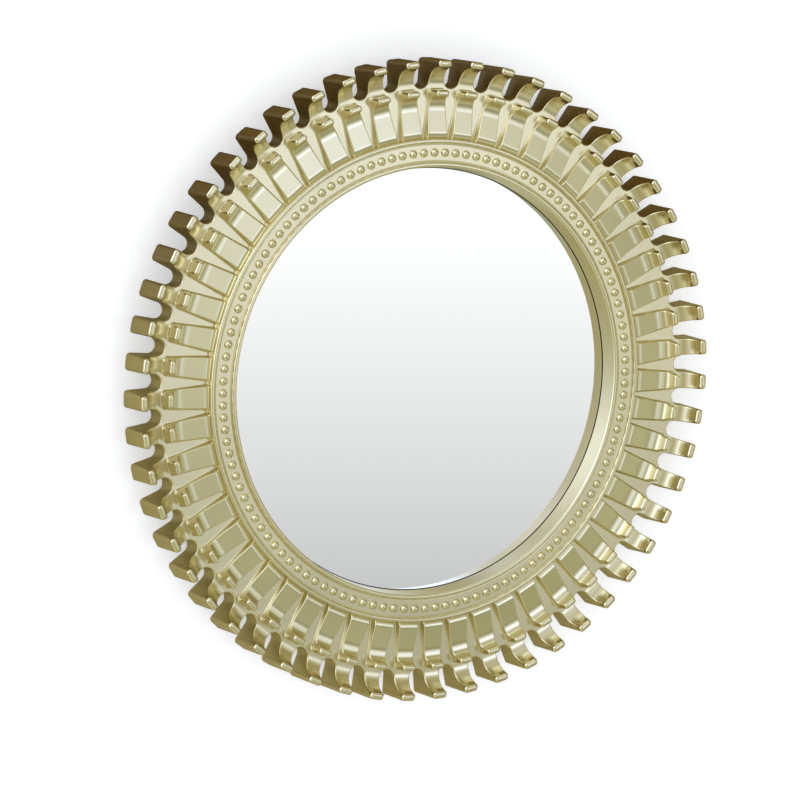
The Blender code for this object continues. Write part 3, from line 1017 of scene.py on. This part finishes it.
class MIRROR_OT_stage(bpy.types.Operator):
    """Sets up the pale wall and floor, the soft lights and the camera"""

    bl_idname = "mirror.stage"
    bl_label = "Stage"

    def execute(self, context):
        scene = context.scene
        pale, tree, shader = new_finish("pale_paint_with_painted_shade", Roughness=0.9)
        shader.inputs["Base Color"].default_value = (0.85, 0.85, 0.85, 1.0)
        shader.inputs["Emission Color"].default_value = (0.35, 0.345, 0.36, 1.0)
        shader.inputs["Emission Strength"].default_value = 1.0
        # The gold sees the wall as matt paint with no glow, in a painted brown shade that turns dark brown
        # from the middle height up to 9 cm above it; the wall's own occlusion also darkens it inside the
        # notches
        path = node(tree, "ShaderNodeLightPath")
        place = node(tree, "ShaderNodeSeparateXYZ")
        tree.links.new(node(tree, "ShaderNodeTexCoord").outputs["Object"], place.inputs[0])
        painted_shade_height = node(tree, "ShaderNodeMapRange", interpolation_type="SMOOTHSTEP")
        painted_shade_height.inputs["From Min"].default_value = 0.0
        painted_shade_height.inputs["From Max"].default_value = 0.09
        tree.links.new(place.outputs["Z"], painted_shade_height.inputs["Value"])
        # Painted shade: brown for the gold's reflections of the wall, darker towards the top
        shade = node(tree, "ShaderNodeMix", data_type="RGBA")
        shade.inputs[6].default_value = (0.45, 0.38, 0.19, 1.0)
        shade.inputs[7].default_value = (0.14, 0.08, 0.015, 1.0)
        tree.links.new(painted_shade_height.outputs[0], shade.inputs[0])
        painted_shade_paint = node(tree, "ShaderNodeBsdfDiffuse")
        tree.links.new(shade.outputs[2], painted_shade_paint.inputs["Color"])
        seen = node(tree, "ShaderNodeMixShader")
        tree.links.new(path.outputs["Is Glossy Ray"], seen.inputs[0])
        tree.links.new(shader.outputs[0], seen.inputs[1])
        tree.links.new(painted_shade_paint.outputs[0], seen.inputs[2])
        see = node(tree, "ShaderNodeNewGeometry")
        clear = node(tree, "ShaderNodeBsdfTransparent")
        mix = node(tree, "ShaderNodeMixShader")
        tree.links.new(see.outputs["Backfacing"], mix.inputs[0])
        tree.links.new(seen.outputs[0], mix.inputs[1])
        tree.links.new(clear.outputs[0], mix.inputs[2])
        tree.links.new(mix.outputs[0], tree.nodes["Material Output"].inputs["Surface"])
        wall = sheet(
            "stage_wall", [(-3, 0.004, -0.8), (3, 0.004, -0.8), (3, 0.004, 3), (-3, 0.004, 3)], pale,
        )
        wall.visible_shadow = False
        wall.visible_diffuse = False
        floor = sheet(
            "stage_floor", [(-3, -4, -0.8), (3, -4, -0.8), (3, 3, -0.8), (-3, 3, -0.8)], pale,
        )
        floor.visible_glossy = False

        world = bpy.data.worlds.new("studio")
        scene.world = world
        world.use_nodes = True
        tree = world.node_tree
        look_way = node(tree, "ShaderNodeTexCoord").outputs["Generated"]
        patch = soft_patch_group()
        glow = None
        for azimuth, elevation, spread, tint in STUDIO_PATCHES:
            turn, rise = math.radians(azimuth), math.radians(elevation)
            soft = tree.nodes.new("ShaderNodeGroup")
            soft.node_tree = patch
            soft.inputs["Below"].default_value = (*STUDIO_ROOM, 1.0)
            soft.inputs["Towards"].default_value = (
                math.sin(turn) * math.cos(rise), -math.cos(turn) * math.cos(rise), math.sin(rise),
            )
            soft.inputs["Sharpness"].default_value = math.radians(spread) ** -2
            soft.inputs["Colour"].default_value = (*tint, 1.0)
            tree.links.new(look_way, soft.inputs["Way"])
            if glow is not None:
                tree.links.new(glow, soft.inputs["Below"])
            glow = soft.outputs["Colour"]
        # A graded card where the glass looks: white above, falling to grey below
        card_way = Vector((0.4764, -0.8663, -0.1497))
        near = node(tree, "ShaderNodeVectorMath", operation="DOT_PRODUCT")
        near.inputs[1].default_value = card_way
        tree.links.new(look_way, near.inputs[0])
        inside = node(tree, "ShaderNodeMapRange", interpolation_type="SMOOTHSTEP")
        inside.inputs["From Min"].default_value = math.cos(math.radians(8.0))
        inside.inputs["From Max"].default_value = math.cos(math.radians(5.5))
        tree.links.new(near.outputs["Value"], inside.inputs["Value"])
        rise_of = node(tree, "ShaderNodeSeparateXYZ")
        tree.links.new(look_way, rise_of.inputs[0])
        grade = node(tree, "ShaderNodeMapRange")
        grade.inputs["From Min"].default_value = math.sin(math.radians(-10.97))
        grade.inputs["From Max"].default_value = math.sin(math.radians(-6.48))
        grade.inputs["To Min"].default_value = 0.65
        grade.inputs["To Max"].default_value = 1.065
        grade.clamp = False
        tree.links.new(rise_of.outputs["Z"], grade.inputs["Value"])
        card = node(tree, "ShaderNodeMix", data_type="RGBA")
        tree.links.new(inside.outputs["Result"], card.inputs["Factor"])
        tree.links.new(glow, card.inputs[6])
        tree.links.new(grade.outputs["Result"], card.inputs[7])
        tree.links.new(card.outputs[2], tree.nodes["Background"].inputs["Color"])
        world.cycles.sampling_method = "MANUAL"
        world.cycles.sample_map_resolution = 256

        lens = bpy.data.cameras.new("camera")
        lens.lens = 179.2
        lens.sensor_width = 36.0
        lens.clip_start = 0.05
        eye = bpy.data.objects.new("camera", lens)
        aim = Vector((-0.01283, -0.0148, -0.00606))
        turn, rise, distance = math.radians(-28.63), math.radians(8.65), 1.533
        away = Vector((
            math.sin(turn) * math.cos(rise), -math.cos(turn) * math.cos(rise), math.sin(rise),
        ))
        eye.location = aim + away * distance
        eye.rotation_euler = (-away).to_track_quat("-Z", "Y").to_euler()
        scene.collection.objects.link(eye)
        scene.camera = eye
        scene.view_settings.view_transform = "Standard"
        return {"FINISHED"}


class MIRROR_PT_sidebar(bpy.types.Panel):
    """Lists the mirror's pieces and sizes"""

    bl_idname = "MIRROR_PT_sidebar"
    bl_label = "Wall mirror"
    bl_space_type = "VIEW_3D"
    bl_region_type = "UI"
    bl_category = "Wall Mirror"

    def draw(self, context):
        for operator in OPERATORS:
            self.layout.operator(operator.bl_idname)
        for name, group in SETTINGS.items():
            box = self.layout.box()
            for key in group.__annotations__:
                box.prop(getattr(context.scene, name), key)


OPERATORS = (
    MIRROR_OT_ring, MIRROR_OT_beads, MIRROR_OT_fingers, MIRROR_OT_teeth, MIRROR_OT_glass,
    MIRROR_OT_panel, MIRROR_OT_stage,
)


def register():
    for cls in (*SETTINGS.values(), *OPERATORS, MIRROR_PT_sidebar):
        bpy.utils.register_class(cls)
    for name, group in SETTINGS.items():
        setattr(bpy.types.Scene, name, PointerProperty(type=group))


def unregister():
    for name in SETTINGS:
        delattr(bpy.types.Scene, name)
    for cls in reversed((*SETTINGS.values(), *OPERATORS, MIRROR_PT_sidebar)):
        bpy.utils.unregister_class(cls)


def main():
    """Builds every piece and the stage."""
    register()
    for operator in OPERATORS:
        family, name = operator.bl_idname.split(".")
        getattr(getattr(bpy.ops, family), name)()


if __name__ == "__main__":
    main()
